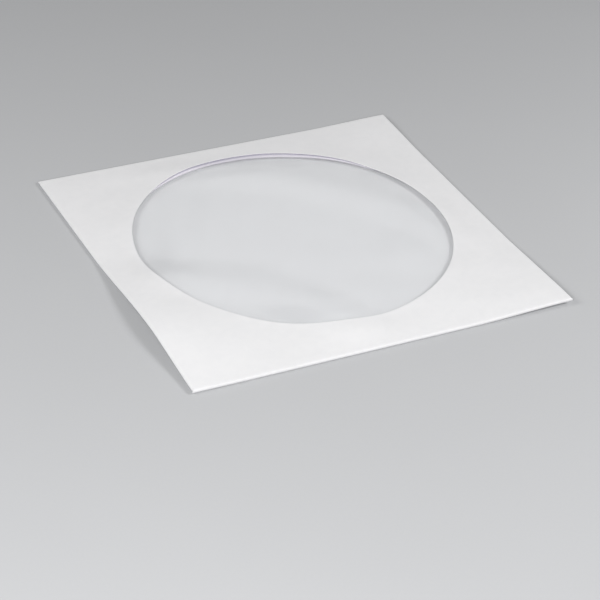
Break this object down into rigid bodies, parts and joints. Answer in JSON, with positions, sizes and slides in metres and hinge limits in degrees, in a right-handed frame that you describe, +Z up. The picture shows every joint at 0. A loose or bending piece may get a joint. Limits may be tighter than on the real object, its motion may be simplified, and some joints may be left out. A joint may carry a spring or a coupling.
{
  "type": "cd sleeve",
  "caption": "Flat square pocket of folded white paper for one disc, with a round clear window in its front panel, glued side tabs and a closing flap folded behind the mouth.",
  "frame": {"origin": "on the surface that the sleeve lies on, under the middle of its box", "axes": "+Z up out of the window, -Y towards the mouth and its flap fold, +Y towards the bottom fold, +X towards the right side fold seen from above with the mouth nearest"},
  "size_m": [0.127, 0.124, 0.0033],
  "materials": {
    "paper": "smooth uncoated white paper, matt",
    "clear_film": "thin clear glossy film with a faint cool tint"
  },
  "bodies": {
    "root": {"sleeve_blank": "paper", "window_film": "clear_film"}
  },
  "joints": []
}
